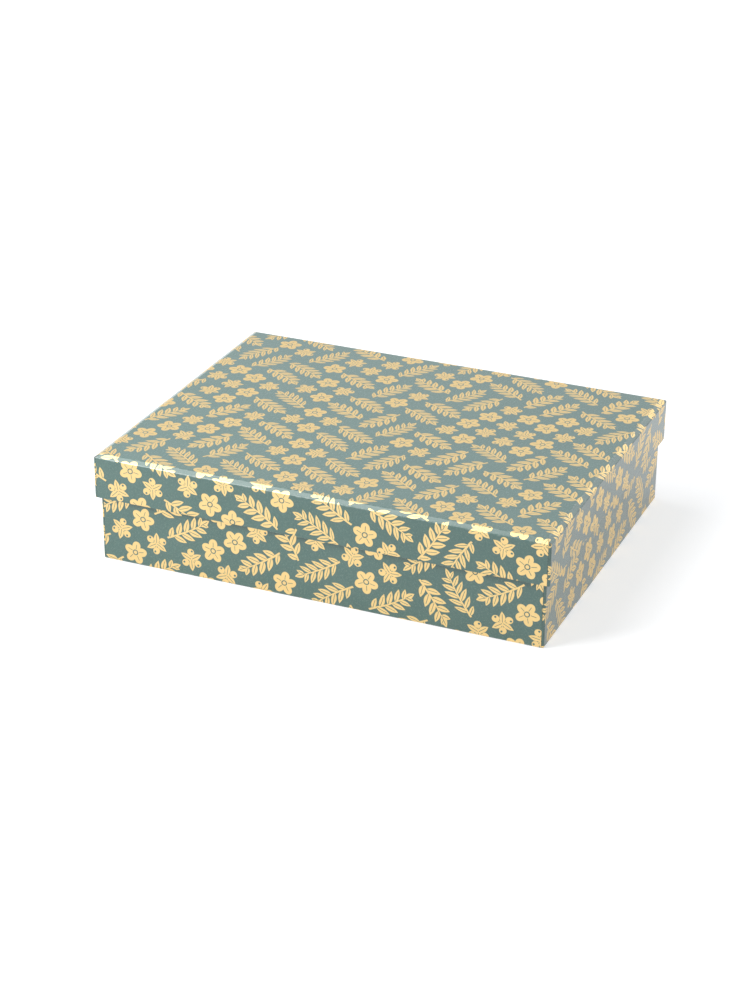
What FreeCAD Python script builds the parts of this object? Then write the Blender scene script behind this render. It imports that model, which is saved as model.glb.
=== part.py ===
# A storage box with a lift-off lid and card dividers. The tray and the lid are greyboard panels, taped at
# the corners, covered in printed paper and lined. Slotted strips stand in the tray and cross in half laps.
# Millimetres, +Z up, +X along the front, the front towards -Y, the origin under the middle of the box.
import FreeCAD
import Part
import Sketcher
import os

driving = {
    "lid_length": 340.0,  # along X, over the printed paper
    "lid_width": 263.0,  # along Y, over the printed paper
    "box_height": 82.0,  # closed, from the table to the lid's top
    "lid_depth": 33.0,  # the lip, from the lid's top to its lower edge
    "lid_gap": 0.75,  # clearance on each side between the lid and the tray
    "board_thickness": 2.0,
    "paper_thickness": 0.2,
    "stay_thickness": 0.12,  # corner tape, and the glue line beside it
    "stay_leg": 16.0,  # tape on each side of a corner
    "fold_reach": 4.2,  # along the lid's top edges, how far in the paper starts to slope down
    "fold_drop": 2.0,  # and how far below the top the slope meets the lip
    "foot_radius": 1.2,  # outside, along the tray's lower edges
    "corner_radius": 1.2,  # outside, at the upright corners
    "lid_turn_in": 18.0,  # printed paper turned up inside the lip
    "base_turn_in": 20.0,  # printed paper turned down inside the rim
    "base_turn_under": 15.0,  # printed paper turned in under the tray
    "sheet_margin": 4.0,  # from the tray's edge to the sheet under it
    "columns": 5,  # compartments along X
    "rows": 4,  # compartments along Y
    "divider_thickness": 1.8,
    "divider_headroom": 5.0,  # from the strips' upper edges to the rim
    "divider_end_gap": 0.5,
    "divider_corner": 3.0,  # rounding of a strip's upper corners
    "slot_gap": 0.15,  # on each side of the strip in a slot
    "lap_gap": 0.5,  # between the ends of two slots that meet
    "slot_flare": 1.5,  # widening at a slot's mouth
}
# How far a cutting shape runs past the face that it opens
overcut = 1.0
# The most of the board's thickness that an eased edge takes away
edge_share = 0.9
# Lengths and volumes that differ by less are the same
same_length = 1e-6
same_volume = 1e-3

doc = FreeCAD.newDocument("box_with_dividers")
sizes = doc.addObject("Spreadsheet::Sheet", "sizes")
for line, (alias, number) in enumerate(driving.items(), start=1):
    sizes.set(f"A{line}", alias)
    sizes.set(f"B{line}", str(number))
    sizes.setAlias(f"B{line}", alias)

# Sizes and levels that follow from the driving dimensions, from the outside in
fits = doc.addObject("App::VarSet", "fits")
following = {
    "skin": "sizes.paper_thickness + sizes.stay_thickness",
    "wall": "fits.skin + sizes.board_thickness + sizes.paper_thickness",
    "overhang": "fits.wall + sizes.lid_gap",
    "inner_corner": "sizes.corner_radius - sizes.paper_thickness",
    "board_corner": "sizes.corner_radius - fits.skin",
    # The board's eased edge carries the paper, so a fold is no deeper than the board is thick
    "deepest_fold": f"sizes.paper_thickness + {edge_share} * sizes.board_thickness",
    "foot_fold": "min(sizes.foot_radius; fits.deepest_fold)",
    "lid_drop": "min(sizes.fold_drop; fits.deepest_fold)",
    "lid_slope": "hypot(sizes.fold_reach; fits.lid_drop)",
    # The same slope a paper's thickness further in, from the paper's inner faces and from the board's
    "inner_lean": "sizes.paper_thickness * (fits.lid_slope - sizes.fold_reach) / fits.lid_drop",
    "inner_sink": "sizes.paper_thickness * (fits.lid_slope - fits.lid_drop) / sizes.fold_reach",
    "inner_reach": "sizes.fold_reach + fits.inner_lean - sizes.paper_thickness",
    "inner_drop": "fits.lid_drop + fits.inner_sink - sizes.paper_thickness",
    "board_reach": "fits.inner_reach - sizes.stay_thickness",
    "board_drop": "fits.inner_drop - sizes.stay_thickness * fits.lid_drop / sizes.fold_reach",
    "lid_low": "sizes.box_height - sizes.lid_depth",
    "lid_board_low": "fits.lid_low + sizes.paper_thickness",
    "lid_board_top": "sizes.box_height - sizes.paper_thickness",
    "lid_ceiling": "fits.lid_board_top - sizes.board_thickness",
    "lid_board_length": "sizes.lid_length - 2 * fits.skin",
    "lid_board_width": "sizes.lid_width - 2 * fits.skin",
    "lid_cavity_length": "fits.lid_board_length - 2 * sizes.board_thickness",
    "lid_cavity_width": "fits.lid_board_width - 2 * sizes.board_thickness",
    "lid_inner_length": "sizes.lid_length - 2 * fits.wall",
    "lid_inner_width": "sizes.lid_width - 2 * fits.wall",
    "base_length": "sizes.lid_length - 2 * fits.overhang",
    "base_width": "sizes.lid_width - 2 * fits.overhang",
    "base_board_length": "fits.base_length - 2 * fits.skin",
    "base_board_width": "fits.base_width - 2 * fits.skin",
    "base_cavity_length": "fits.base_board_length - 2 * sizes.board_thickness",
    "base_cavity_width": "fits.base_board_width - 2 * sizes.board_thickness",
    "base_inner_length": "fits.base_length - 2 * fits.wall",
    "base_inner_width": "fits.base_width - 2 * fits.wall",
    "base_low": "sizes.paper_thickness",
    "base_board_low": "2 * sizes.paper_thickness",
    "base_deck": "fits.base_board_low + sizes.board_thickness",
    "floor_level": "fits.base_deck + sizes.paper_thickness",
    "rim_level": "fits.lid_ceiling - sizes.paper_thickness",
    "base_board_top": "fits.rim_level - sizes.paper_thickness",
    "divider_height": "fits.rim_level - fits.floor_level - sizes.divider_headroom",
    "long_length": "fits.base_inner_length - 2 * sizes.divider_end_gap",
    "cross_length": "fits.base_inner_width - 2 * sizes.divider_end_gap",
    "column_pitch": "(fits.base_inner_length + sizes.divider_thickness) / sizes.columns",
    "row_pitch": "(fits.base_inner_width + sizes.divider_thickness) / sizes.rows",
    "first_column": "fits.column_pitch - (fits.base_inner_length + sizes.divider_thickness) / 2",
    "first_row": "fits.row_pitch - (fits.base_inner_width + sizes.divider_thickness) / 2",
    "half_slot": "sizes.divider_thickness / 2 + sizes.slot_gap",
    "slot_floor": "(fits.divider_height - sizes.lap_gap) / 2",
    "slot_roof": "(fits.divider_height + sizes.lap_gap) / 2",
}
for name, rule in following.items():
    fits.addProperty("App::PropertyFloat", name, "Fits")
    fits.setExpression(name, rule)
doc.recompute()

nodes = []


def value(rule):
    return float(fits.evalExpression(rule))


def hold(sketch, kind, line, end, rule):
    """Set one coordinate of a line's end from the sketch's origin."""
    number = value(rule)
    if number == 0.0:
        axis = -2 if kind == "DistanceX" else -1
        sketch.addConstraint(Sketcher.Constraint("PointOnObject", line, end, axis))
    else:
        index = sketch.addConstraint(Sketcher.Constraint(kind, -1, 1, line, end, number))
        sketch.setExpression(f"Constraints[{index}]", rule)


def outline(sketch, corners):
    """Close a loop through corners given as (across, up), or (across, up, radius) at a square corner."""
    points = [FreeCAD.Vector(value(corner[0]), value(corner[1]), 0) for corner in corners]
    radii = [value(corner[2]) if len(corner) == 3 else 0.0 for corner in corners]
    lines = []
    for index, start in enumerate(points):
        after = (index + 1) % len(points)
        step = (points[after] - start).normalize()
        segment = Part.LineSegment(start + step * radii[index], points[after] - step * radii[after])
        lines.append(sketch.addGeometry(segment))
    for index, corner in enumerate(corners):
        before, line = lines[index - 1], lines[index]
        if len(corner) == 2:
            sketch.addConstraint(Sketcher.Constraint("Coincident", before, 2, line, 1))
            hold(sketch, "DistanceX", line, 1, corner[0])
            hold(sketch, "DistanceY", line, 1, corner[1])
        else:
            round_corner(sketch, before, line, points[index], corner[2])
    for index, line in enumerate(lines):
        after = (index + 1) % len(corners)
        rounded = [len(corner) == 3 for corner in (corners[index], corners[after])]
        level = abs(points[index].y - points[after].y) < same_length
        if any(rounded):
            sketch.addConstraint(Sketcher.Constraint("Horizontal" if level else "Vertical", line))
        if all(rounded):
            hold(sketch, "DistanceY" if level else "DistanceX", line, 1, corners[index][1 if level else 0])


def round_corner(sketch, before, line, apex, radius):
    """Join two lines that stop short of a square corner with a tangent arc."""
    start = sketch.Geometry[before].EndPoint
    end = sketch.Geometry[line].StartPoint
    centre = start + end - apex
    middle = centre + (apex - centre).normalize() * value(radius)
    # An arc runs counter-clockwise, so at a corner that turns right its ends are the other way round
    turns_left = (apex - start).cross(end - apex).z > 0
    near, far = (1, 2) if turns_left else (2, 1)
    arc = sketch.addGeometry(Part.Arc(start, middle, end) if turns_left else Part.Arc(end, middle, start))
    sketch.addConstraint(Sketcher.Constraint("Tangent", before, 2, arc, near))
    sketch.addConstraint(Sketcher.Constraint("Tangent", arc, far, line, 1))
    index = sketch.addConstraint(Sketcher.Constraint("Radius", arc, value(radius)))
    sketch.setExpression(f"Constraints[{index}]", radius)


def own_sketch(body, name, plane):
    sketch = body.newObject("Sketcher::SketchObject", name)
    planes = {feature.Role: feature for feature in body.Origin.OriginFeatures}
    sketch.AttachmentSupport = (planes[plane], [""])
    sketch.MapMode = "FlatFace"
    return sketch


def place(piece, along="0", across="0", up="0", turn=0):
    """Turn a piece about the upright axis and bind its place."""
    piece.Placement = FreeCAD.Placement(FreeCAD.Vector(), FreeCAD.Rotation(FreeCAD.Vector(0, 0, 1), turn))
    for axis, rule in zip("xyz", (along, across, up)):
        piece.setExpression(f"Placement.Base.{axis}", rule)


def padded(name, plane, corners, depth):
    """A body padded from an outline: upwards from the XY plane, or to both sides of an upright one."""
    body = doc.addObject("PartDesign::Body", name)
    sketch = own_sketch(body, f"{name}_outline", plane)
    outline(sketch, corners)
    pad = body.newObject("PartDesign::Pad", f"{name}_pad")
    pad.Profile = sketch
    pad.SideType = "One side" if plane == "XY_Plane" else "Symmetric"
    pad.setExpression("Length", depth)
    return body


def block(name, length, width, low, high):
    """A plain box centred on the upright axis."""
    box = doc.addObject("Part::Box", name)
    box.setExpression("Length", length)
    box.setExpression("Width", width)
    box.setExpression("Height", f"{high} - ({low})")
    place(box, f"-({length}) / 2", f"-({width}) / 2", low)
    return box


def rectangle(length, width, radius=None):
    """The outline of a panel seen from above, centred, square or rounded at its corners."""
    signs = (("-", "-"), ("", "-"), ("", ""), ("-", ""))
    corners = [(f"{along}({length}) / 2", f"{across}({width}) / 2") for along, across in signs]
    return [corner + (radius,) for corner in corners] if radius else corners


def upright(length, low, high, low_radius=None, high_radius=None, slope=None):
    """The outline of a panel seen from the side, rounded below, and rounded or sloped above."""
    lower = [(f"-({length}) / 2", low), (f"({length}) / 2", low)]
    upper = [(f"({length}) / 2", high), (f"-({length}) / 2", high)]
    lower = [corner + (low_radius,) for corner in lower] if low_radius else lower
    upper = [corner + (high_radius,) for corner in upper] if high_radius else upper
    if slope:
        reach, drop = slope
        upper = [
            (f"({length}) / 2", f"{high} - {drop}"),
            (f"({length}) / 2 - {reach}", high),
            (f"{reach} - ({length}) / 2", high),
            (f"-({length}) / 2", f"{high} - {drop}"),
        ]
    return lower + upper


def rounded_block(name, length, width, low, high, corner, foot=None, slope=None):
    """A box with rounded upright corners, whose rolled lower or sloped upper edges meet in mitres."""
    plan = padded(f"{name}_plan", "XY_Plane", rectangle(length, width, corner), f"{high} - ({low})")
    place(plan, up=low)
    front = padded(f"{name}_front", "XZ_Plane", upright(length, low, high, foot, slope=slope), width)
    side = padded(f"{name}_side", "YZ_Plane", upright(width, low, high, foot, slope=slope), length)
    solid = doc.addObject("Part::MultiCommon", name)
    solid.Shapes = [plan, front, side]
    return solid


def without(name, base, *tools):
    """Cut one or more shapes out of a solid."""
    tool = tools[0]
    if len(tools) > 1:
        tool = doc.addObject("Part::MultiFuse", f"{name}_tools")
        tool.Shapes = list(tools)
    result = doc.addObject("Part::Cut", name)
    result.Base = base
    result.Tool = tool
    return result


def joined(name, *pieces):
    result = doc.addObject("Part::MultiFuse", name)
    result.Shapes = list(pieces)
    result.Refine = True
    return result


def finished(piece):
    """Enter a sub-part under its label, which names its file."""
    nodes.append(piece)
    return piece


def wall_boards(tray, length, width, low, high):
    """Four panels butted at the corners: front and back run the full length, the sides fit between."""
    half, deep = f"({length}) / 2", f"({width}) / 2"
    inner = f"{deep} - sizes.board_thickness"
    long_panel = [
        (f"-{half}", f"-{deep}", "fits.board_corner"),
        (half, f"-{deep}", "fits.board_corner"),
        (half, f"-({inner})"),
        (f"-{half}", f"-({inner})"),
    ]
    short_panel = [
        (f"-{half}", f"-({inner})"),
        (f"-({half} - sizes.board_thickness)", f"-({inner})"),
        (f"-({half} - sizes.board_thickness)", inner),
        (f"-{half}", inner),
    ]
    panels = {
        "front": (long_panel, 0),
        "back": (long_panel, 180),
        "left": (short_panel, 0),
        "right": (short_panel, 180),
    }
    for side, (corners, turn) in panels.items():
        board = finished(padded(f"{tray}_{side}_board", "XY_Plane", corners, f"{high} - {low}"))
        place(board, up=low, turn=turn)


def corner_stays(tray, length, width, low, high):
    """Paper tape folded round each upright corner, between the boards and the printed paper."""
    tape = [
        ("0", "0", "fits.inner_corner"),
        ("-sizes.stay_leg", "0"),
        ("-sizes.stay_leg", "-sizes.stay_thickness"),
        ("-sizes.stay_thickness", "-sizes.stay_thickness", "fits.board_corner"),
        ("-sizes.stay_thickness", "-sizes.stay_leg"),
        ("0", "-sizes.stay_leg"),
    ]
    corners = {
        "back_right": ("", "", 0),
        "back_left": ("-", "", 90),
        "front_left": ("-", "-", 180),
        "front_right": ("", "-", 270),
    }
    along_reach = f"({length} / 2 + sizes.stay_thickness)"
    across_reach = f"({width} / 2 + sizes.stay_thickness)"
    for corner, (along, across, turn) in corners.items():
        stay = finished(padded(f"{tray}_stay_{corner}", "XY_Plane", tape, f"{high} - {low}"))
        place(stay, along + along_reach, across + across_reach, low, turn)


def lid():
    finished(
        rounded_block(
            "lid_top_board",
            "fits.lid_board_length",
            "fits.lid_board_width",
            "fits.lid_ceiling",
            "fits.lid_board_top",
            "fits.board_corner",
            slope=("fits.board_reach", "fits.board_drop"),
        )
    )
    footprint = ("fits.lid_board_length", "fits.lid_board_width")
    levels = ("fits.lid_board_low", "fits.lid_ceiling")
    wall_boards("lid", *footprint, *levels)
    corner_stays("lid", *footprint, *levels)
    # The printed sheet: over the top, down the lip, round its lower edge and up inside
    outside = rounded_block(
        "lid_wrap_outside",
        "sizes.lid_length",
        "sizes.lid_width",
        "fits.lid_low",
        "sizes.box_height",
        "sizes.corner_radius",
        slope=("sizes.fold_reach", "fits.lid_drop"),
    )
    inside = rounded_block(
        "lid_wrap_inside",
        "sizes.lid_length - 2 * sizes.paper_thickness",
        "sizes.lid_width - 2 * sizes.paper_thickness",
        "fits.lid_board_low",
        "fits.lid_board_top",
        "fits.inner_corner",
        slope=("fits.inner_reach", "fits.inner_drop"),
    )
    opening = ("fits.lid_inner_length", "fits.lid_inner_width")
    mouth = block("lid_wrap_mouth", *opening, f"fits.lid_low - {overcut}", f"fits.lid_board_low + {overcut}")
    cavity = ("fits.lid_cavity_length", "fits.lid_cavity_width")
    turn_in_top = "fits.lid_low + sizes.lid_turn_in"
    turn_in = without(
        "lid_turned_in",
        block("lid_turned_in_outside", *cavity, "fits.lid_low", turn_in_top),
        block("lid_turned_in_inside", *opening, f"fits.lid_low - {overcut}", f"{turn_in_top} + {overcut}"),
    )
    finished(joined("lid_wrap", without("lid_wrap_skin", outside, inside, mouth), turn_in))
    # The lining meets the turned-in paper edge to edge
    finished(
        without(
            "lid_lining",
            block("lid_lining_outside", *cavity, turn_in_top, "fits.lid_ceiling"),
            block("lid_lining_inside", *opening, f"{turn_in_top} - {overcut}", "fits.rim_level"),
        )
    )


def base():
    finished(
        rounded_block(
            "base_bottom_board",
            "fits.base_board_length",
            "fits.base_board_width",
            "fits.base_board_low",
            "fits.base_deck",
            "fits.board_corner",
            foot="fits.foot_fold - sizes.paper_thickness",
        )
    )
    footprint = ("fits.base_board_length", "fits.base_board_width")
    levels = ("fits.base_deck", "fits.base_board_top")
    wall_boards("base", *footprint, *levels)
    corner_stays("base", *footprint, *levels)
    # The printed sheet: turned under the bottom, up the walls, over the rim and down inside
    outside = rounded_block(
        "base_wrap_outside",
        "fits.base_length",
        "fits.base_width",
        "fits.base_low",
        "fits.rim_level",
        "sizes.corner_radius",
        foot="fits.foot_fold",
    )
    inside = rounded_block(
        "base_wrap_inside",
        "fits.base_length - 2 * sizes.paper_thickness",
        "fits.base_width - 2 * sizes.paper_thickness",
        "fits.base_board_low",
        "fits.base_board_top",
        "fits.inner_corner",
        foot="fits.foot_fold - sizes.paper_thickness",
    )
    opening = ("fits.base_inner_length", "fits.base_inner_width")
    mouth = block(
        "base_wrap_mouth",
        *opening,
        f"fits.base_board_top - {overcut}",
        f"fits.rim_level + {overcut}",
    )
    window = block(
        "base_wrap_window",
        "fits.base_length - 2 * sizes.base_turn_under",
        "fits.base_width - 2 * sizes.base_turn_under",
        f"fits.base_low - {overcut}",
        f"fits.base_board_low + {overcut}",
    )
    cavity = ("fits.base_cavity_length", "fits.base_cavity_width")
    turn_in_low = "fits.rim_level - sizes.base_turn_in"
    turn_in = without(
        "base_turned_in",
        block("base_turned_in_outside", *cavity, turn_in_low, "fits.rim_level"),
        block("base_turned_in_inside", *opening, f"{turn_in_low} - {overcut}", f"fits.rim_level + {overcut}"),
    )
    finished(joined("base_wrap", without("base_wrap_skin", outside, inside, mouth, window), turn_in))
    finished(
        without(
            "base_lining",
            block("base_lining_outside", *cavity, "fits.base_deck", turn_in_low),
            block("base_lining_inside", *opening, "fits.floor_level", f"{turn_in_low} + {overcut}"),
        )
    )
    sheet = rectangle("fits.base_length - 2 * sizes.sheet_margin", "fits.base_width - 2 * sizes.sheet_margin")
    finished(padded("base_bottom_sheet", "XY_Plane", sheet, "sizes.paper_thickness"))


def slot_outline(middle, end, mouth, outwards):
    """A slot from its end to its flared mouth, drawn a little past the strip's edge."""
    sign = "+" if outwards > 0 else "-"
    throat = f"{mouth} {'-' if outwards > 0 else '+'} sizes.slot_flare"
    beyond = f"{mouth} {sign} {overcut}"
    left, right = f"{middle} - fits.half_slot", f"{middle} + fits.half_slot"
    wide_left, wide_right = f"{left} - sizes.slot_flare", f"{right} + sizes.slot_flare"
    return [
        (left, end),
        (right, end),
        (right, throat),
        (wide_right, mouth),
        (wide_right, beyond),
        (wide_left, beyond),
        (wide_left, mouth),
        (left, throat),
    ]


def divider(name, plane, axis, length, slot, pitch, count):
    """A strip standing on the tray's floor, with evenly spaced slots for the strips that cross it."""
    strip = upright(length, "0", "fits.divider_height", high_radius="sizes.divider_corner")
    body = finished(padded(name, plane, strip, "sizes.divider_thickness"))
    plain = body.Tip
    sketch = own_sketch(body, f"{name}_slot", plane)
    outline(sketch, slot)
    pocket = body.newObject("PartDesign::Pocket", f"{name}_pocket")
    pocket.Profile = sketch
    pocket.Type = "ThroughAll"
    pocket.SideType = "Symmetric"
    doc.recompute()
    pattern = body.newObject("PartDesign::LinearPattern", f"{name}_slots")
    pattern.Originals = [pocket]
    axes = {feature.Role: feature for feature in body.Origin.OriginFeatures}
    pattern.Direction = (axes[axis], [""])
    pattern.setExpression("Length", f"{pitch} * ({count} - 1)")
    pattern.setExpression("Occurrences", count)
    body.Tip = pattern
    doc.recompute()
    one_slot = plain.Shape.Volume - pocket.Shape.Volume
    all_slots = plain.Shape.Volume - pattern.Shape.Volume
    if one_slot <= 0 or abs(all_slots - one_slot * value(count)) > same_volume:
        raise RuntimeError(f"{name}: the slots are not all cut")
    return body


def dividers():
    upward = slot_outline("fits.first_column", "fits.slot_floor", "fits.divider_height", 1)
    for index in range(1, int(sizes.rows)):
        strip = divider(
            f"divider_long_{index}",
            "XZ_Plane",
            "X_Axis",
            "fits.long_length",
            upward,
            "fits.column_pitch",
            "(sizes.columns - 1)",
        )
        place(strip, across=f"fits.first_row + {index - 1} * fits.row_pitch", up="fits.floor_level")
    downward = slot_outline("fits.first_row", "fits.slot_roof", "0", -1)
    for index in range(1, int(sizes.columns)):
        strip = divider(
            f"divider_cross_{index}",
            "YZ_Plane",
            "Y_Axis",
            "fits.cross_length",
            downward,
            "fits.row_pitch",
            "(sizes.rows - 1)",
        )
        place(strip, along=f"fits.first_column + {index - 1} * fits.column_pitch", up="fits.floor_level")


base()
dividers()
lid()
doc.recompute()

for item in doc.Objects:
    if "Invalid" in item.State or "Error" in item.State:
        raise RuntimeError(f"{item.Label} did not recompute: {item.State}")
for node in nodes:
    if node.Shape.isNull() or not node.Shape.isValid() or len(node.Shape.Solids) != 1:
        raise RuntimeError(f"{node.Label} is not one valid solid")

os.makedirs("parts", exist_ok=True)
for node in nodes:
    node.Shape.exportStep(f"parts/{node.Label}.step")
print(f"{len(nodes)} sub-parts written")
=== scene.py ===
from math import cos, dist, pi, radians, sin, tan

import bmesh
import bpy
from mathutils import Matrix, Vector


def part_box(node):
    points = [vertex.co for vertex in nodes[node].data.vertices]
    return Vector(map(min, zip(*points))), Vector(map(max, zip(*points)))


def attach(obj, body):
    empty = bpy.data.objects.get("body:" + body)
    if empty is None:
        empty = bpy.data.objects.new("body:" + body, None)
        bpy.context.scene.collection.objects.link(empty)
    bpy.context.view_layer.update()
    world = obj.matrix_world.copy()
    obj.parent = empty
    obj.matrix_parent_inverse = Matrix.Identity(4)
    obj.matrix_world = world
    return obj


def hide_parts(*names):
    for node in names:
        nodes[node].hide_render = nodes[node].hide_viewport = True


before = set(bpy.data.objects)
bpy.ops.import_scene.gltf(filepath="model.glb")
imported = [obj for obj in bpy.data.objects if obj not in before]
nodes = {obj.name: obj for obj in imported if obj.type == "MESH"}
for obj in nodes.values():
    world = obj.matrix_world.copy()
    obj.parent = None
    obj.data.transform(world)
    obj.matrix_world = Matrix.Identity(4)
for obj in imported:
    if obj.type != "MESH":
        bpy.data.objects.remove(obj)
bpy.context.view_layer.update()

mm = 0.001  # sizes below are in millimetres, the frame is in metres
facing = 0.9  # a face looks along an axis when its normal goes that far along it
print("frame loaded:", len(nodes), "nodes")


# Small helpers for shader nodes: a Signal is a socket that can be added, multiplied and compared.
class Signal:
    def __init__(self, tree, socket):
        self.tree = tree
        self.socket = socket

    def math(self, operation, *others):
        return calc(self.tree, operation, self, *others)

    def __add__(self, other):
        return self.math("ADD", other)

    def __sub__(self, other):
        return self.math("SUBTRACT", other)

    def __mul__(self, other):
        return self.math("MULTIPLY", other)

    def __truediv__(self, other):
        return self.math("DIVIDE", other)

    def __rsub__(self, other):
        return calc(self.tree, "SUBTRACT", other, self)

    def __gt__(self, other):
        return self.math("GREATER_THAN", other)

    def __pow__(self, other):
        return self.math("POWER", other)

    __radd__ = __add__
    __rmul__ = __mul__

    def clamped(self):
        node = self.tree.nodes.new("ShaderNodeClamp")
        feed(self.tree, self, node.inputs["Value"])
        return Signal(self.tree, node.outputs[0])


def feed(tree, value, socket):
    if isinstance(value, Signal):
        tree.links.new(value.socket, socket)
    else:
        socket.default_value = value


def calc(tree, operation, *values):
    node = tree.nodes.new("ShaderNodeMath")
    node.operation = operation
    for value, socket in zip(values, node.inputs):
        feed(tree, value, socket)
    return Signal(tree, node.outputs[0])


def lowest(first, *others):
    for other in others:
        first = first.math("MINIMUM", other)
    return first


def highest(first, *others):
    for other in others:
        first = first.math("MAXIMUM", other)
    return first


def between(start, end, share):  # start where share is 0, end where it is 1
    return share * (end - start) + start


def ranged(value, low, high, toLow=0.0, toHigh=1.0):
    node = value.tree.nodes.new("ShaderNodeMapRange")
    for socket, number in zip(node.inputs, (value, low, high, toLow, toHigh)):
        feed(value.tree, number, socket)
    return Signal(value.tree, node.outputs[0])


def parts(vector):
    node = vector.tree.nodes.new("ShaderNodeSeparateXYZ")
    feed(vector.tree, vector, node.inputs[0])
    return [Signal(vector.tree, socket) for socket in node.outputs]


def joined(tree, *values):
    node = tree.nodes.new("ShaderNodeCombineXYZ")
    for value, socket in zip(values, node.inputs):
        feed(tree, value, socket)
    return Signal(tree, node.outputs[0])


def turned(x, y, angle):
    c = angle.math("COSINE")
    s = angle.math("SINE")
    return x * c - y * s, x * s + y * c


def mixed(tree, share, first, second):  # two colours
    node = tree.nodes.new("ShaderNodeMix")
    node.data_type = "RGBA"
    for socket, value in zip((node.inputs[0], node.inputs[6], node.inputs[7]), (share, first, second)):
        feed(tree, value, socket)
    return Signal(tree, node.outputs[2])


def noise(tree, vector, scale, detail=2.0, stretch=None):
    node = tree.nodes.new("ShaderNodeTexNoise")
    if stretch:
        mapping = tree.nodes.new("ShaderNodeMapping")
        mapping.inputs["Scale"].default_value = stretch
        feed(tree, vector, mapping.inputs[0])
        vector = Signal(tree, mapping.outputs[0])
    feed(tree, vector, node.inputs["Vector"])
    node.inputs["Scale"].default_value = scale
    node.inputs["Detail"].default_value = detail
    return Signal(tree, node.outputs["Fac"])


def chance(tree, *values):  # three even chances for each cell of the print
    node = tree.nodes.new("ShaderNodeTexWhiteNoise")
    feed(tree, joined(tree, *values), node.inputs["Vector"])
    return parts(Signal(tree, node.outputs["Color"]))


def newGroup(name, inputs, outputs):
    group = bpy.data.node_groups.new(name, "ShaderNodeTree")
    for label, default in inputs.items():
        kind = "NodeSocketVector" if default is None else "NodeSocketFloat"
        socket = group.interface.new_socket(label, in_out="INPUT", socket_type=kind)
        if default is not None:
            socket.default_value = default
    for label in outputs:
        group.interface.new_socket(label, in_out="OUTPUT", socket_type="NodeSocketFloat")
    entry = group.nodes.new("NodeGroupInput")
    way = group.nodes.new("NodeGroupOutput")
    return group, {label: Signal(group, entry.outputs[label]) for label in inputs}, way


def placed(tree, group, **values):
    node = tree.nodes.new("ShaderNodeGroup")
    node.node_tree = group
    for label, value in values.items():
        feed(tree, value, node.inputs[label])
    return {socket.name: Signal(tree, socket) for socket in node.outputs}


# The foil print: leafy sprigs, five-petalled blossoms and trios of berries, laid like a basket weave.
# Each motif group takes a place in millimetres from its own middle, and its Ink is above 0 where foil is.
leafForm = {
    "lean": radians(47),    # away from the stem
    "point": 0.8,           # below 1 the leaf's belly moves towards the stem
    "trim": 0.06,           # brings a leaf just under 0 past either end
    "rib": (0.1, 0.8),      # where the rib starts and ends, in shares of the leaf
    "ribTaper": 5.0,
}


def leafShape(along, width):
    return along * (1.0 - along) * 4.0 * width - leafForm["trim"]


def leafRib(along, across, rib):
    start, end = leafForm["rib"]
    taper = leafForm["ribTaper"]
    return lowest(rib - across, (along - start) * taper, (end - along) * taper)


sprigForm = {
    "settle": 1 / 16,       # of the length squared: keeps a bent sprig in the middle of its strip
    "longest": 0.24,        # moves the longest leaves below the sprig's middle
    "leastLeaf": 0.3,       # smaller leaves, in shares of the longest, are left out
    "lowestLeaf": -0.46,    # of the sprig's length, from its middle
    "slim": 0.45,           # share of the width that the smallest leaf keeps
    "stem": (0.5, 0.012),   # half its width, and how it thins upwards
    "stemEnds": (0.47, 0.36),
    "tip": (0.28, 0.21),    # foot and length of the end leaf, in shares of the sprig
    "hidden": 5.0,          # brings a leaf that is left out well under 0
}


def sprigGroup():
    p = sprigForm
    inputs = {
        "X": 0.0, "Y": 0.0, "Length": 40.0, "Leaf": 12.0,
        "Width": 2.0, "Spacing": 6.5, "Bend": 0.0, "Rib": 0.2,
    }
    group, g, way = newGroup("leafySprig", inputs, ["Ink"])
    y = g["Y"]
    length = g["Length"]
    x = g["X"] - g["Bend"] * (y * y - length * length * p["settle"])
    side = x > 0.0
    across = x.math("ABSOLUTE")
    lean = leafForm["lean"]
    # leaves stand in turn on either side of the stem, and the nearest one is drawn
    step = (y - across * (cos(lean) / sin(lean))) / g["Spacing"] + side * 0.5
    base = ((step + 0.5).math("FLOOR") - side * 0.5) * g["Spacing"]
    rise = y - base
    reachAlong = across * sin(lean) + rise * cos(lean)
    offAxis = (rise * sin(lean) - across * cos(lean)).math("ABSOLUTE")
    place = base / length * 2.0 + p["longest"]
    size = (1.0 - place * place).math("MAXIMUM", 0.0) ** 0.5
    bare = 1.0 - (size > p["leastLeaf"]) * (base > length * p["lowestLeaf"])
    along = (reachAlong / (g["Leaf"] * size + 0.0001)).clamped() ** leafForm["point"]  # never divides by 0
    width = g["Width"] * (size * (1.0 - p["slim"]) + p["slim"])
    leaf = leafShape(along, width) - offAxis - bare * p["hidden"]
    rib = leafRib(along, offAxis, g["Rib"]) - bare * p["hidden"]
    half, thinning = p["stem"]
    foot, head = p["stemEnds"]
    stem = lowest(half - y * thinning - across, y + length * foot, length * head - y)
    tipFoot, tipLength = p["tip"]
    tipAlong = ((y - length * tipFoot) / (length * tipLength)).clamped() ** leafForm["point"]
    tip = leafShape(tipAlong, g["Width"]) - across
    cut = highest(rib, leafRib(tipAlong, across, g["Rib"]))
    feed(group, lowest(highest(leaf, stem, tip), cut * -1.0), way.inputs["Ink"])
    return group


def spokes(x, y, count, turn=0.0):  # a place measured along and across the nearest of some spokes
    spread = x.math("MULTIPLY", x) + y * y
    radius = spread ** 0.5
    share = y.math("ARCTAN2", x) * (count / (2 * pi)) + turn
    angle = (share - (share + 0.5).math("FLOOR")) * (2 * pi / count)
    return radius, radius * angle.math("COSINE"), radius * angle.math("SINE")


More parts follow.
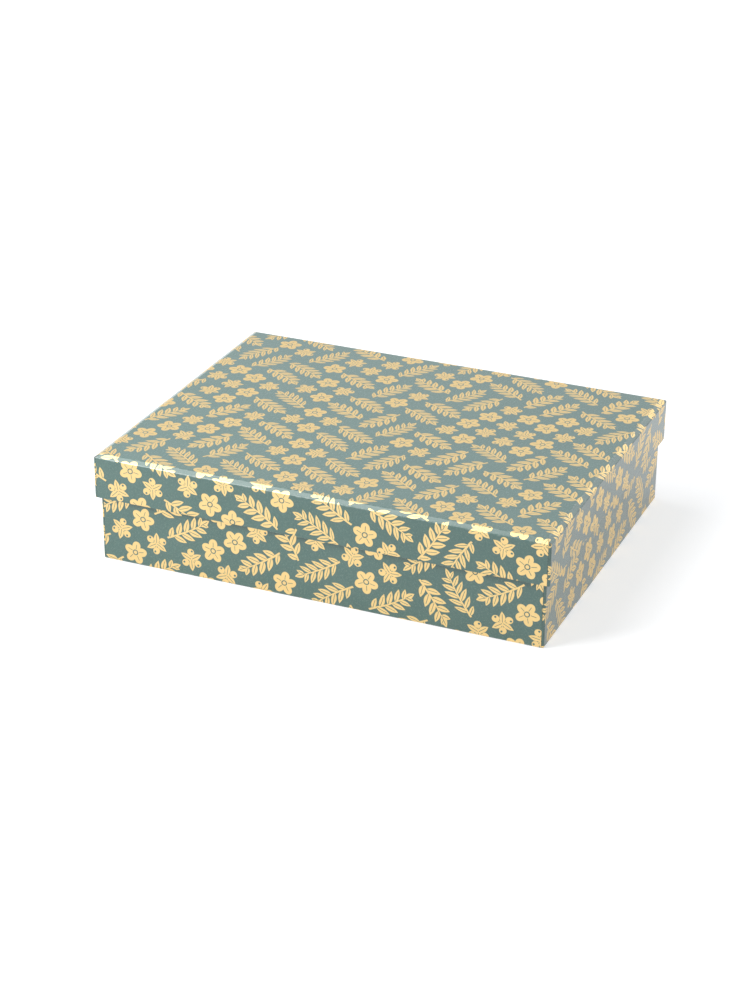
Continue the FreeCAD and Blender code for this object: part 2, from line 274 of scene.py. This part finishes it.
blossomForm = {
    "petals": 5,
    "petalMiddle": 0.58,    # this and the rest in shares of the blossom's radius
    "petalLength": 0.42,    # half of it, and of the width
    "petalWidth": 0.36,
    "vein": (0.30, 0.72),
    "ring": 0.24,
    "eye": 0.15,
}


def blossomGroup():
    p = blossomForm
    group, g, way = newGroup("blossom", {"X": 0.0, "Y": 0.0, "Radius": 9.0, "Rib": 0.2}, ["Ink"])
    size = g["Radius"]
    radius, along, across = spokes(g["X"], g["Y"], p["petals"])
    a = (along / size - p["petalMiddle"]) / p["petalLength"]
    b = across / size / p["petalWidth"]
    petal = (1.0 - (a * a + b * b) ** 0.5) * size * p["petalWidth"]
    start, end = p["vein"]
    vein = lowest(g["Rib"] - across.math("ABSOLUTE"), along - size * start, size * end - along)
    ring = size * p["ring"] - radius
    eye = size * p["eye"] - radius
    feed(group, highest(lowest(petal, vein * -1.0, ring * -1.0), eye), way.inputs["Ink"])
    return group


berryForm = {
    "berries": 3,
    "middle": 0.62,         # of a berry, this and the rest in shares of the trio's radius
    "berry": 0.30,
    "shineAt": (0.70, 0.11),
    "shine": 0.09,
    "stalk": 0.60,
    "stalkHalf": 0.35,      # half the stalk's width, in millimetres
    "leafWidth": 0.24,
}


def berryGroup():
    p = berryForm
    group, g, way = newGroup("berryTrio", {"X": 0.0, "Y": 0.0, "Radius": 9.0, "Rib": 0.2}, ["Ink"])
    size = g["Radius"]
    along, across = spokes(g["X"], g["Y"], p["berries"])[1:]
    out = along - size * p["middle"]
    berry = size * p["berry"] - (out * out + across * across) ** 0.5
    shineAlong = along - size * p["shineAt"][0]
    shineAcross = across - size * p["shineAt"][1]
    shine = size * p["shine"] - (shineAlong * shineAlong + shineAcross * shineAcross) ** 0.5
    stalk = lowest(p["stalkHalf"] - across.math("ABSOLUTE"), size * p["stalk"] - along)
    # a leaf between each two berries
    along, across = spokes(g["X"], g["Y"], p["berries"], 0.5)[1:]
    across = across.math("ABSOLUTE")
    share = (along / size).clamped() ** leafForm["point"]
    leaf = leafShape(share, size * p["leafWidth"]) - across
    cut = highest(shine, leafRib(share, across, g["Rib"]))
    feed(group, lowest(highest(berry, stalk, leaf), cut * -1.0), way.inputs["Ink"])
    return group


foilPrint = {
    "cell": 40.0,       # side of one square of the weave, two motifs wide
    "tilt": 31.0,       # degrees between the weave and the sheet
    "wobble": 0.9,      # how far a drawn line strays
    "wobbleScale": 0.12,
    "wobbleSlices": (0.0, 7.0),  # of the noise, one for each direction
    "sway": 7.0,        # degrees a sprig may lean from its row
    "leaf": 11.2,
    "leafWidth": (1.85, 2.4),
    "leafSpacing": (5.8, 7.1),
    "bend": 0.0035,
    "rib": 0.2,
    "blossom": 9.0,
    "blossomShare": 0.36,
    "edge": 0.05,       # softness of the foil's edge
    "draws": (3.0, 11.0, 17.0),     # one for each set of chances
}


def foliageGroup():
    p = foilPrint
    quarter = p["cell"] / 4
    firstDraw, secondDraw, thirdDraw = p["draws"]
    group, g, way = newGroup("foliagePrint", {"Sheet": None}, ["Foil"])
    u, v = [part * (1 / mm) for part in parts(g["Sheet"])[:2]]
    alongSlice, acrossSlice = p["wobbleSlices"]
    u = u + (noise(group, joined(group, u, v, alongSlice), p["wobbleScale"], 1.0) - 0.5) * p["wobble"]
    v = v + (noise(group, joined(group, v, u, acrossSlice), p["wobbleScale"], 1.0) - 0.5) * p["wobble"]
    tilt = radians(p["tilt"])
    x = (u * cos(tilt) - v * sin(tilt)) / p["cell"]
    y = (u * sin(tilt) + v * cos(tilt)) / p["cell"]
    column = (x + 0.5).math("FLOOR")
    row = (y + 0.5).math("FLOOR")
    x = (x - column) * p["cell"]
    y = (y - row) * p["cell"]
    # every other square is turned a quarter, and each square holds two strips
    odd = (column + row).math("FLOORED_MODULO", 2.0)
    x, y = between(x, y * -1.0, odd), between(y, x, odd)
    strip = x.math("SIGN")
    x = x - strip * quarter
    name = column * 2.0 + strip * 0.5
    flip, sway, plump = chance(group, name, row, firstDraw)
    bend, kind = chance(group, name, row, secondDraw)[:2]
    flip = (flip - 0.5).math("SIGN")
    sx, sy = turned(x * flip, y * flip, (sway - 0.5) * radians(p["sway"]))
    sprig = placed(
        group, sprigGroup(), X=sx, Y=sy, Length=p["cell"], Leaf=p["leaf"], Rib=p["rib"],
        Width=between(*p["leafWidth"], plump), Spacing=between(*p["leafSpacing"], plump),
        Bend=(bend - 0.5).math("SIGN") * p["bend"])["Ink"]
    # a strip without a sprig holds a blossom and a trio of berries
    half = y.math("SIGN")
    turn = chance(group, name, row * 2.0 + half * 0.5, thirdDraw)[0]
    bx, by = turned(x, y - half * quarter, turn * (2 * pi))
    blossom = placed(group, blossomGroup(), X=bx, Y=by, Radius=p["blossom"], Rib=p["rib"])["Ink"]
    berries = placed(group, berryGroup(), X=bx, Y=by, Radius=p["blossom"], Rib=p["rib"])["Ink"]
    pair = between(blossom, berries, half * strip > 0.0)
    ink = between(pair, sprig, kind > p["blossomShare"])
    feed(group, ranged(ink, -p["edge"], p["edge"]), way.inputs["Foil"])
    return group


# Paper and card: felted fibres, slow clouds in the pulp, and rare specks. Scales are per metre.
paperGrain = {
    "felt": 2600.0,
    "feltShare": 0.6,
    "drawn": 900.0,             # fibres drawn out along Y
    "drawnStretch": (1.0, 0.35, 1.0),
    "cloud": 22.0,
    "mottle": 640.0,
    "speck": 700.0,
    "speckRange": (0.70, 0.76),
}


def grainGroup():
    p = paperGrain
    inputs = {"Place": None, "Fibre": 1.0, "Cloud": 1.0}
    group, g, way = newGroup("paperGrain", inputs, ["Fibre", "Cloud", "Speck"])
    felt = noise(group, g["Place"], p["felt"], 3.0)
    drawn = noise(group, g["Place"], p["drawn"], 2.0, p["drawnStretch"])
    fibre = felt * p["feltShare"] + drawn * (1.0 - p["feltShare"])
    cloud = noise(group, g["Place"], p["cloud"], 3.0)
    mottle = noise(group, g["Place"], p["mottle"], 2.0)
    speck = ranged(noise(group, g["Place"], p["speck"], 1.0), *p["speckRange"])
    feed(group, (fibre - 0.5) * g["Fibre"] + 0.5, way.inputs["Fibre"])
    feed(group, (cloud * 0.5 + mottle * 0.5 - 0.5) * g["Cloud"] + 0.5, way.inputs["Cloud"])
    feed(group, speck, way.inputs["Speck"])
    return group


rubbing = {"scale": 260.0, "range": (0.50, 0.62)}


def wearGroup():  # rubbed spots along folds and edges, from the mesh's own fold attribute
    p = rubbing
    group, g, way = newGroup("foldWear", {"Place": None, "Fold": 0.0, "Amount": 0.3}, ["Wear"])
    rub = noise(group, g["Place"], p["scale"], 4.0)
    feed(group, ranged(rub * g["Fold"], *p["range"]) * g["Amount"], way.inputs["Wear"])
    return group


foliage = foliageGroup()
grain = grainGroup()
foldWear = wearGroup()
print("print and paper groups made:", len(foliage.nodes), "nodes in the print")


def newMaterial(name):
    material = bpy.data.materials.new(name)
    material.use_nodes = True
    tree = material.node_tree
    shader = tree.nodes["Principled BSDF"]
    place = Signal(tree, tree.nodes.new("ShaderNodeTexCoord").outputs["Object"])
    return material, tree, shader, place


def meshValue(tree, name):  # a number that the mesh keeps at its points
    node = tree.nodes.new("ShaderNodeAttribute")
    node.attribute_name = name
    return Signal(tree, node.outputs["Fac"])


def bumped(tree, shader, height, strength, depth):
    node = tree.nodes.new("ShaderNodeBump")
    node.inputs["Strength"].default_value = strength
    node.inputs["Distance"].default_value = depth * mm
    feed(tree, height, node.inputs["Height"])
    tree.links.new(node.outputs[0], shader.inputs["Normal"])


printedPaper = {
    "green": ((0.043, 0.112, 0.094, 1), (0.095, 0.178, 0.156, 1)),
    "gold": ((0.70, 0.504, 0.221, 1), (0.80, 0.591, 0.275, 1)),
    "core": (0.62, 0.66, 0.60, 1),
    "paintedShade": (0.020, 0.032, 0.028, 1),    # painted shade down in a seam's groove and at the corners where the folds meet
    "paperRoughness": (0.24, 0.30),
    "foilRoughness": (0.36, 0.44),
    "film": 0.50,           # varnish on the green
    "filmRoughness": 0.16,
    "wear": 0.10,
    "wornRoughness": 0.2,   # added where the paper is rubbed
    "grainStrength": 0.12,
    "grainDepth": 0.03,
}


def printedFinish():
    p = printedPaper
    material, tree, shader, place = newMaterial("printedPaper")
    sheet = tree.nodes.new("ShaderNodeUVMap")
    sheet.uv_map = "flatSheet"
    foil = placed(tree, foliage, Sheet=Signal(tree, sheet.outputs[0]))["Foil"]
    paper = placed(tree, grain, Place=place)
    fold = meshValue(tree, "fold")
    # the seam attribute paints shade into the seams' grooves and onto the corners where the folds meet, and
    # takes the foil's metal out there
    paintedShade = meshValue(tree, "seam")
    wear = placed(tree, foldWear, Place=place, Fold=fold, Amount=p["wear"])["Wear"]
    ground = mixed(tree, paper["Cloud"], *p["green"])
    metal = mixed(tree, paper["Fibre"], *p["gold"])
    colour = mixed(tree, wear, mixed(tree, foil, ground, metal), p["core"])
    feed(tree, mixed(tree, paintedShade, colour, p["paintedShade"]), shader.inputs["Base Color"])
    matt = between(*p["paperRoughness"], paper["Fibre"])
    shiny = between(*p["foilRoughness"], paper["Fibre"])
    feed(tree, between(matt, shiny, foil) + wear * p["wornRoughness"], shader.inputs["Roughness"])
    feed(tree, foil * (1.0 - wear) * (1.0 - paintedShade), shader.inputs["Metallic"])
    feed(tree, (1.0 - foil) * p["film"], shader.inputs["Coat Weight"])
    shader.inputs["Coat Roughness"].default_value = p["filmRoughness"]
    bumped(tree, shader, paper["Fibre"], p["grainStrength"], p["grainDepth"])
    return material


plainPapers = {
    "liningPaper": {
        "dark": (0.70, 0.66, 0.57, 1), "pale": (0.78, 0.74, 0.66, 1), "speck": (0.48, 0.42, 0.33, 1),
        "roughness": (0.72, 0.86), "grainDepth": 0.06,
    },
    "underPaper": {
        "dark": (0.045, 0.060, 0.055, 1), "pale": (0.062, 0.082, 0.075, 1), "speck": (0.10, 0.12, 0.11, 1),
        "roughness": (0.62, 0.78), "grainDepth": 0.05,
    },
    "stayTape": {
        "dark": (0.34, 0.22, 0.12, 1), "pale": (0.42, 0.29, 0.17, 1), "speck": (0.24, 0.15, 0.08, 1),
        "roughness": (0.55, 0.75), "grainDepth": 0.05,
    },
    "dividerCard": {
        "dark": (0.66, 0.63, 0.56, 1), "pale": (0.75, 0.72, 0.65, 1), "speck": (0.52, 0.48, 0.41, 1),
        "roughness": (0.60, 0.76), "grainDepth": 0.06,
    },
    "greyboard": {
        "dark": (0.30, 0.28, 0.25, 1), "pale": (0.40, 0.38, 0.35, 1), "speck": (0.15, 0.14, 0.13, 1),
        "roughness": (0.80, 0.95), "grainDepth": 0.15,
    },
}
plainGrain = {"fibre": 1.4, "fibreShare": 0.5, "specks": 0.6, "strength": 0.4}


def plainFinish(name):
    p = plainPapers[name]
    q = plainGrain
    material, tree, shader, place = newMaterial(name)
    paper = placed(tree, grain, Place=place, Fibre=q["fibre"])
    pulp = mixed(tree, between(paper["Cloud"], paper["Fibre"], q["fibreShare"]), p["dark"], p["pale"])
    feed(tree, mixed(tree, paper["Speck"] * q["specks"], pulp, p["speck"]), shader.inputs["Base Color"])
    feed(tree, between(*p["roughness"], paper["Fibre"]), shader.inputs["Roughness"])
    bumped(tree, shader, paper["Fibre"], q["strength"], p["grainDepth"])
    return material


finishes = {name: plainFinish(name) for name in plainPapers}
finishes["printedPaper"] = printedFinish()
print("finishes made:", ", ".join(finishes))


# The two printed sheets, drawn as rings that run round the box and step along the way the paper is folded.
def bentPath(support, *corners):
    # the paper's way in section through corners (out, high), with a radius and steps where it bends;
    # a narrow flat strip beside each bend keeps the panels' shading flat, and the third value marks bends
    points = [Vector(corner[:2]) for corner in corners]
    rows = []
    for k, corner in enumerate(corners):
        if len(corner) == 2:
            rows.append((*corner, 0.0))
            continue
        radius, steps = corner[2:]
        arrive = (points[k] - points[k - 1]).normalized()
        leave = (points[k + 1] - points[k]).normalized()
        turn = arrive.angle(leave)
        inward = (leave - arrive * cos(turn)).normalized()
        start = points[k] - arrive * (radius * tan(turn / 2))
        angles = [turn * step / steps for step in range(steps + 1)]
        bend = [start + (arrive * sin(a) + inward * (1 - cos(a))) * radius for a in angles]
        rows.append((*(start - arrive * support), 0.0))
        rows += [(*point, 1.0) for point in bend]
        rows.append((*(bend[-1] + leave * support), 0.0))
    return rows


def quarterRing(p, half, out, cover):
    # from the middle of the front to the middle of the right side, out from the wrapped faces' plane
    wide = half[0] + out
    deep = half[1] + out
    bend = max(p["cornerRadius"] + out, 0.0)
    step = p["seamStep"] * cover
    seam = p["seam"] * cover
    groove = (p["seam"] - p["seamGap"]) * cover
    ring = [(0.0, -deep), (wide - seam - p["support"], -deep), (wide - seam, -deep)]
    ring += [(wide - seam, 2 * step - deep), (wide - groove, 2 * step - deep), (wide - groove, step - deep)]
    for k in range(p["cornerSteps"] + 1):
        angle = pi / 2 * k / p["cornerSteps"]
        ring.append((wide - bend + bend * sin(angle), step + bend - deep - bend * cos(angle)))
    ring += [(wide, step + bend - deep + p["support"]), (wide, 0.0)]
    return ring


def fullRing(quarter):
    right = quarter + [(x, -y) for x, y in quarter[-2::-1]]
    return right + [(-x, y) for x, y in right[-2:0:-1]]


def ringAfter(bm, ring):
    edges = [bm.edges.get((ring[k - 1], ring[k])) for k in range(len(ring))]
    grown = bmesh.ops.extrude_edge_only(bm, edges=edges)["geom"]
    fresh = {item for item in grown if isinstance(item, bmesh.types.BMVert)}
    return [next(e.other_vert(v) for e in v.link_edges if e.other_vert(v) in fresh) for v in ring]


def cornerColumn(column, quarterSize):  # a column's place in its quarter, from the flap towards the side
    inQuarter = column % quarterSize
    return inQuarter if (column // quarterSize) % 2 == 0 else quarterSize - inQuarter


def wrapSheet(name, p, half, path, capped):
    # columns of a quarter ring: the flap first, then its cut edge and the groove, then the side's corner
    flapColumns = 3
    grooveColumns = (3, 4)
    sharpColumns = (2, 3, 4, 5)
    weld = 0.0005
    level = 0.01
    bm = bmesh.new()
    sheet = bm.loops.layers.uv.new("flatSheet")
    foldLayer = bm.verts.layers.float.new("fold")
    # the seam attribute holds painted shade: in the seam's groove and in a spot at each corner where the
    # folds meet
    seamShadeLayer = bm.verts.layers.float.new("seam")
    quarterSize = len(quarterRing(p, half, 0.0, 1.0)) - 1
    total = 4 * quarterSize
    ring = bmesh.ops.create_circle(bm, segments=total, radius=1, cap_ends=False)["verts"]
    spot = {}  # each point's column, its place in the flat sheet seen from a flap, and from a side
    walked = [0.0]
    for before, after in zip(path, path[1:]):
        walked.append(walked[-1] + dist(before[:2], after[:2]))
    for row, (out, high, folded) in enumerate(path):
        if row:
            ring = ringAfter(bm, ring)
        cover = min(max(out / p["seamFade"] + 1.0, 0.0), 1.0)
        # painted shade at the corners, strongest at its place along the paper and fading over its radius
        cornerShade = max(1.0 - abs(walked[row] - p["cornerShade"][0]) / p["cornerShade"][1], 0.0) if "cornerShade" in p else 0.0
        outline = fullRing(quarterRing(p, half, out, cover))
        steps = [dist(outline[k - 1], outline[k]) for k in range(total)]
        for k, vert in enumerate(ring):
            x, y = outline[k]
            vert.co = (x, y, high)
            quarter = k // quarterSize
            sideMiddle = quarterSize if quarter < 2 else 3 * quarterSize
            low, top = sorted((k, sideMiddle))
            along = sum(steps[low + 1:top + 1])
            along = -along if (k < sideMiddle) == (quarter < 2) else along
            flapEdge = half[1] + path[0][0] + walked[row]
            sideEdge = half[0] + path[0][0] + walked[row]
            onFlap = (x, -flapEdge if y < 0 else flapEdge)
            onSide = (sideEdge if x > 0 else -sideEdge, along)
            spot[vert] = (k, onFlap, onSide)
            vert[foldLayer] = folded
            corner = cornerColumn(k, quarterSize)
            # painted shade in the groove's columns, and in a spot at each corner where the folds meet
            seam = cover if corner in grooveColumns else 0.0
            shadeAtCorner = cornerShade if sharpColumns[0] <= corner < quarterSize - 1 else 0.0
            vert[seamShadeLayer] = max(seam, shadeAtCorner)
    for face in bm.faces:
        face.smooth = True
        columns = sorted(spot[vert][0] for vert in face.verts)
        column = columns[-1] if columns[-1] - columns[0] > 1 else columns[0]
        inQuarter = column % quarterSize
        mirrored = (column // quarterSize) % 2
        nearFlap = quarterSize - 1 - inQuarter if mirrored else inQuarter
        onFlap = nearFlap < flapColumns
        for loop in face.loops:
            loop[sheet].uv = Vector(spot[loop.vert][1 if onFlap else 2]) * mm
    for edge in bm.edges:
        ends = [spot[vert][0] for vert in edge.verts]
        edge.smooth = ends[0] != ends[1] or cornerColumn(ends[0], quarterSize) not in sharpColumns
    if capped:
        nearTop = path[0][1] - level
        border = [edge for edge in bm.edges if edge.is_boundary]
        rim = [edge for edge in border if min(vert.co.z for vert in edge.verts) > nearTop]
        for face in bmesh.ops.contextual_create(bm, geom=rim)["faces"]:
            face.smooth = False
            for loop in face.loops:
                loop[sheet].uv = loop.vert.co.xy * mm
    bmesh.ops.remove_doubles(bm, verts=bm.verts, dist=weld)
    bmesh.ops.dissolve_degenerate(bm, edges=bm.edges, dist=weld)
    bmesh.ops.recalc_face_normals(bm, faces=bm.faces)
    # the outermost face of the right side has to look outwards
    walls = [face for face in bm.faces if abs(face.normal.x) > facing]
    if max(walls, key=lambda face: face.calc_center_median().x).normal.x < 0:
        bmesh.ops.reverse_faces(bm, faces=bm.faces)
    bmesh.ops.scale(bm, vec=(mm, mm, mm), verts=bm.verts)
    mesh = bpy.data.meshes.new(name)
    bm.to_mesh(mesh)
    bm.free()
    mesh.materials.append(finishes["printedPaper"])
    piece = bpy.data.objects.new(name, mesh)
    bpy.context.scene.collection.objects.link(piece)
    thick = piece.modifiers.new("paper", "SOLIDIFY")
    thick.thickness = p["paper"] * mm
    thick.offset = -1.0
    return piece


lidSheet = {
    "slopeReach": 4.2,      # the eased top edge, in from the lip
    "slopeDrop": 2.0,       # and down from the top
    "shoulder": (3.0, 5),   # radius and steps of the bend from the top to the slope
    "brow": (1.2, 6),       # and from the slope to the lip
    "topMargin": 2.0,
    "cornerRadius": 1.2,
    "edge": (0.5, 4),       # fold round the lip's lower edge
    "wall": 2.52,           # lip's thickness with its papers
    "turnIn": 18.0,
    "seam": 1.9,            # front and back flaps stop this far from the corners
    "seamGap": 0.25,
    "seamStep": 0.08,
    "seamFade": 2.4,        # where the seam runs out, in from the lip
    "cornerShade": (5.2, 2.2),   # painted shade for a small hollow where the folds meet at a corner, which the mesh does not have: along the paper, and its radius
    "paper": 0.15,
    "support": 0.5,
    "cornerSteps": 6,
}


def lidPaper():
    p = lidSheet
    low, high = [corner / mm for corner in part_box("lid_wrap")]
    path = bentPath(
        p["support"],
        (-p["slopeReach"] - p["topMargin"], high.z),
        (-p["slopeReach"], high.z, *p["shoulder"]),
        (0.0, high.z - p["slopeDrop"], *p["brow"]),
        (0.0, low.z, *p["edge"]),
        (-p["wall"], low.z, *p["edge"]),
        (-p["wall"], low.z + p["turnIn"]),
    )
    piece = wrapSheet("lid_paper", p, high.xy, path, True)
    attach(piece, "lid")
    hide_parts("lid_wrap")


baseSheet = {
    "foot": (1.2, 6),       # radius and steps of the paper's roll under the tray
    "turnUnder": 15.0,
    "cornerRadius": 1.2,
    "edge": (0.5, 4),       # fold over the rim
    "wall": 2.52,
    "turnIn": 20.0,
    "seam": 1.9,
    "seamGap": 0.25,
    "seamStep": 0.08,
    "seamFade": 1.2,
    "paper": 0.15,
    "support": 0.5,
    "cornerSteps": 6,
}


def basePaper():
    p = baseSheet
    low, high = [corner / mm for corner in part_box("base_wrap")]
    path = bentPath(
        p["support"],
        (-p["turnUnder"], low.z),
        (0.0, low.z, *p["foot"]),
        (0.0, high.z, *p["edge"]),
        (-p["wall"], high.z, *p["edge"]),
        (-p["wall"], high.z - p["turnIn"]),
    )
    piece = wrapSheet("base_paper", p, high.xy, path, False)
    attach(piece, "base")
    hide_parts("base_wrap")


lidPaper()
basePaper()
print("printed sheets folded")


# The card strips: the solids' own outline, with the die-cut edges eased and left bare grey.
dividerStrip = {
    "ease": 0.22,
    "easeSteps": 2,
    "weld": 0.001,
    "flat": radians(1),     # a turn up to this is no edge
    "edge": radians(60),    # and a turn past this is one
    "bodies": {"divider_long": "long_dividers", "divider_cross": "cross_dividers"},
}


def cardStrip(node, body):
    p = dividerStrip
    low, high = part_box(node)
    thin = 0 if high.x - low.x < high.y - low.y else 1
    bm = bmesh.new()
    bm.from_mesh(nodes[node].data)
    bmesh.ops.remove_doubles(bm, verts=bm.verts, dist=p["weld"] * mm)
    bmesh.ops.dissolve_limit(bm, angle_limit=p["flat"], verts=bm.verts, edges=bm.edges)
    corners = [edge for edge in bm.edges if edge.calc_face_angle(0) > p["edge"]]
    bmesh.ops.bevel(
        bm, geom=corners, offset=p["ease"] * mm, offset_type="OFFSET", segments=p["easeSteps"], profile=0.5,
        affect="EDGES", material=-1, clamp_overlap=True)
    for face in bm.faces:
        face.material_index = 0 if abs(face.normal[thin]) > facing else 1
    mesh = bpy.data.meshes.new(node + "_strip")
    bm.to_mesh(mesh)
    bm.free()
    mesh.materials.append(finishes["dividerCard"])
    mesh.materials.append(finishes["greyboard"])
    piece = bpy.data.objects.new(node + "_strip", mesh)
    bpy.context.scene.collection.objects.link(piece)
    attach(piece, body)
    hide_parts(node)


for prefix, body in dividerStrip["bodies"].items():
    for node in sorted(name for name in nodes if name.startswith(prefix)):
        cardStrip(node, body)
print("card strips cut")

# The solids that stay take the finish of their kind.
nodeFinish = {
    "board": "greyboard",
    "stay": "stayTape",
    "lining": "liningPaper",
    "bottom_sheet": "underPaper",
}
for node, item in nodes.items():
    for word, finish in nodeFinish.items():
        if word in node:
            for slot in item.material_slots:
                slot.material = finishes[finish]
print("boards, stays and linings finished")


# White studio: a floor that keeps the shadow, a pale world and four soft lamps.
studio = {
    "floorSize": 12.0,
    "floorColour": (0.80, 0.80, 0.80, 1),
    "shadowShare": (0.59, 0.60, 0.615, 1),  # of the floor as the lens sees it, what the lamps light
    "floorGlow": (0.60, 1.0),  # near the box, and further off where it is plain white
    "glowReach": (0.35, 0.95),  # metres from the box's middle
    "worldColour": (1.0, 1.025, 1.06, 1),
    "worldLight": 0.351,
    "lamps": {
        "overhead": {
            "place": (-0.67, 0.05, 1.40), "aim": (-0.67, 0.05, 0.0), "size": (0.85, 0.95), "power": 9.3,
        },
        "front": {
            "place": (-0.66, -0.74, 0.90), "aim": (-0.08, 0.0, 0.05), "size": (0.6, 0.6), "power": 14.0,
        },
        "back": {
            "place": (0.58, 1.33, 0.88), "aim": (0.17, 0.0, 0.08), "size": (1.07, 0.86), "power": 2.2,
        },
        "right": {
            "place": (1.50, 0.35, 0.80), "aim": (0.17, 0.0, 0.04), "size": (1.25, 1.25), "power": 2.8,
        },
    },
}


def seenRays(tree):  # what the lens, a reflection or a clear thing sees
    path = tree.nodes.new("ShaderNodeLightPath")
    names = ("Is Camera Ray", "Is Glossy Ray", "Is Transmission Ray")
    return highest(*[Signal(tree, path.outputs[name]) for name in names])


def makeFloor():
    p = studio
    bm = bmesh.new()
    bmesh.ops.create_grid(bm, x_segments=1, y_segments=1, size=p["floorSize"] / 2)
    mesh = bpy.data.meshes.new("floor")
    bm.to_mesh(mesh)
    bm.free()
    material = bpy.data.materials.new("whiteFloor")
    material.use_nodes = True
    tree = material.node_tree
    tree.nodes.clear()
    plain = tree.nodes.new("ShaderNodeBsdfDiffuse")
    plain.inputs["Color"].default_value = p["floorColour"]
    shade = tree.nodes.new("ShaderNodeBsdfDiffuse")
    shade.inputs["Color"].default_value = p["shadowShare"]
    glow = tree.nodes.new("ShaderNodeEmission")
    x, y = parts(Signal(tree, tree.nodes.new("ShaderNodeTexCoord").outputs["Object"]))[:2]
    away = (x * x + y * y) ** 0.5
    feed(tree, ranged(away, *p["glowReach"], *p["floorGlow"]), glow.inputs["Strength"])
    lit = tree.nodes.new("ShaderNodeAddShader")
    tree.links.new(shade.outputs[0], lit.inputs[0])
    tree.links.new(glow.outputs[0], lit.inputs[1])
    choice = tree.nodes.new("ShaderNodeMixShader")
    feed(tree, seenRays(tree), choice.inputs[0])
    tree.links.new(plain.outputs[0], choice.inputs[1])
    tree.links.new(lit.outputs[0], choice.inputs[2])
    way = tree.nodes.new("ShaderNodeOutputMaterial")
    tree.links.new(choice.outputs[0], way.inputs["Surface"])
    mesh.materials.append(material)
    floor = bpy.data.objects.new("floor", mesh)
    bpy.context.scene.collection.objects.link(floor)


def makeWorld():
    world = bpy.data.worlds.new("paleStudio")
    bpy.context.scene.world = world
    world.use_nodes = True
    tree = world.node_tree
    light = tree.nodes["Background"]
    light.inputs["Color"].default_value = studio["worldColour"]
    feed(tree, between(studio["worldLight"], 1.0, seenRays(tree)), light.inputs["Strength"])


def makeLamps():
    for name, p in studio["lamps"].items():
        lamp = bpy.data.lights.new(name, "AREA")
        lamp.energy = p["power"]
        lamp.shape = "RECTANGLE"
        lamp.size, lamp.size_y = p["size"]
        item = bpy.data.objects.new(name, lamp)
        item.location = p["place"]
        item.rotation_euler = (Vector(p["aim"]) - item.location).to_track_quat("-Z", "Y").to_euler()
        bpy.context.scene.collection.objects.link(item)


makeFloor()
makeWorld()
makeLamps()

cameraView = {
    "azimuth": 22.65,     # degrees
    "elevation": 25.55,
    "roll": -0.56,
    "distance": 1.7607,   # metres from the box's foot along the view
    "right": 0.0090,      # where the foot's middle sits in front of the lens
    "up": -0.0201,
    "lens": 85.88,
    "sensor": 36.0,
}


def makeCamera():
    p = cameraView
    toLens = (
        Matrix.Rotation(radians(p["roll"]), 3, "Z")
        @ Matrix.Rotation(radians(p["elevation"] - 90), 3, "X")
        @ Matrix.Rotation(radians(-p["azimuth"]), 3, "Z")
    )
    lens = bpy.data.cameras.new("camera")
    lens.lens = p["lens"]
    lens.sensor_width = p["sensor"]
    camera = bpy.data.objects.new("camera", lens)
    turn = toLens.transposed()
    camera.matrix_world = turn.to_4x4()
    camera.location = turn @ -Vector((p["right"], p["up"], -p["distance"]))
    bpy.context.scene.collection.objects.link(camera)
    bpy.context.scene.camera = camera


makeCamera()
bpy.context.scene.view_settings.view_transform = "Standard"
print("studio and camera set")
